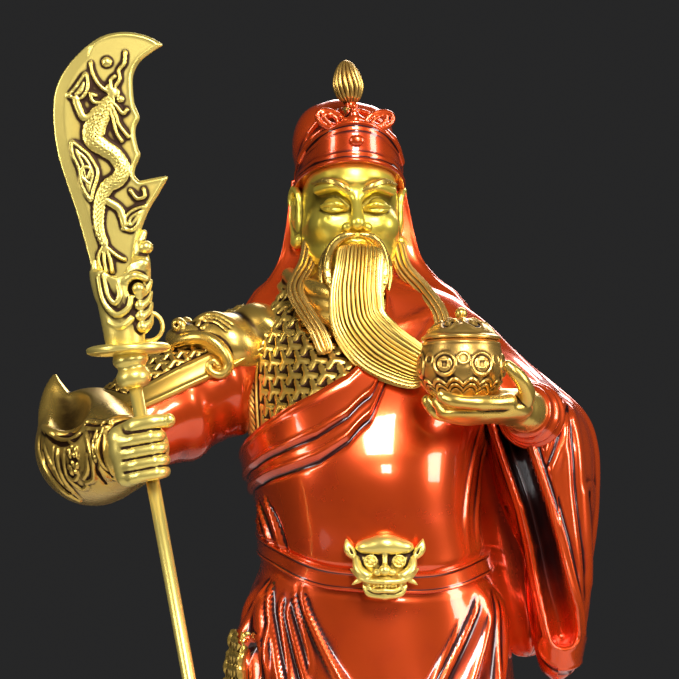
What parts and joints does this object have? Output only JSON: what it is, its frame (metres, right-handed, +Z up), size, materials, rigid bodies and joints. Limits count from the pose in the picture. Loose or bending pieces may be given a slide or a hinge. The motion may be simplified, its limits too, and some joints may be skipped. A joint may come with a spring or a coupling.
{
  "type": "guan yu statue",
  "caption": "Standing bearded general in robe and armour, holding a crescent-bladed pole arm and a lidded treasure pot, on a low stepped plinth.",
  "frame": {"origin": "centre of the plinth's flat underside", "axes": "+Z up, -Y towards the viewer whom the figure faces, +X to that viewer's right, the side of the treasure pot"},
  "size_m": [0.2448, 0.1818, 0.4695],
  "materials": {
    "lacquered_brass": "glossy translucent red-orange lacquer over cast brass, darker in the recesses",
    "antique_gold": "polished antique gold with dark brown patina in the recesses"
  },
  "bodies": {
    "root": {"plinth": "lacquered_brass", "figure": "lacquered_brass", "pole_arm": "antique_gold", "treasure_pot": "antique_gold", "pot_lid": "antique_gold"}
  },
  "joints": []
}
